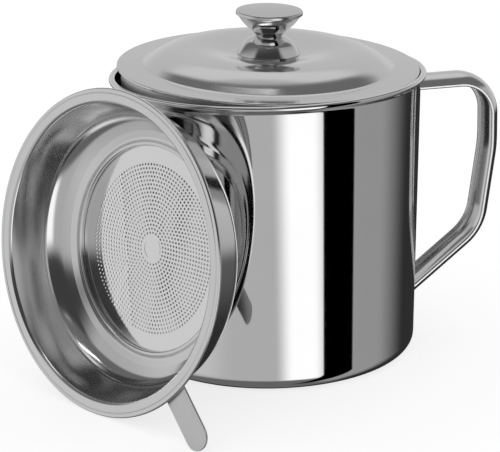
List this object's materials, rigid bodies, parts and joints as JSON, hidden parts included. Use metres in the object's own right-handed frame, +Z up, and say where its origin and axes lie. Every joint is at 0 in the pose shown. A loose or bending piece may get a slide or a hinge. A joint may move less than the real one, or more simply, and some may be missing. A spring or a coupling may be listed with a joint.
{
  "type": "grease container with strainer",
  "caption": "Round metal kitchen pot for saved cooking fat, with a strap handle, a domed lid with an hourglass knob and a loose perforated strainer leaning on its side.",
  "frame": {"origin": "centre of the pot's flat base, on the surface that the pot stands on", "axes": "+Z up along the pot's axis, +X from that axis towards the strap handle, +Y completing a right-handed frame"},
  "size_m": [0.2232, 0.1818, 0.151],
  "materials": {
    "pot_body": "mirror polished stainless sheet",
    "pot_handle": "polished stainless strap",
    "lid": "satin stainless sheet",
    "lid_ring": "plain stainless sheet",
    "knob": "mirror polished",
    "knob_cap": "satin face with a polished rim",
    "fasteners": "plain turned steel",
    "strainer_bowl": "brushed stainless sheet",
    "filter_disc": "bright perforated sheet",
    "strainer_tab": "satin stainless sheet"
  },
  "bodies": {
    "pot": {"pot_body": "pot_body", "pot_handle": "pot_handle"},
    "lid_set": {"lid": "lid", "lid_ring": "lid_ring", "knob_bell": "knob", "knob_cup": "knob", "knob_cap": "knob_cap", "knob_insert": "fasteners", "lid_screw": "fasteners", "screw_washer": "fasteners"},
    "strainer": {"strainer_bowl": "strainer_bowl", "filter_disc": "filter_disc", "strainer_tab": "strainer_tab"}
  },
  "joints": [
    {"name": "lid_lift", "type": "slide", "parent": "pot", "child": "lid_set", "axis": [0, 0, 1], "range_m": [0, 0.12]},
    {"name": "strainer_lift", "type": "slide", "parent": "pot", "child": "strainer", "axis": [-0.5196, -0.3, 0.8], "range_m": [0, 0.15]}
  ]
}
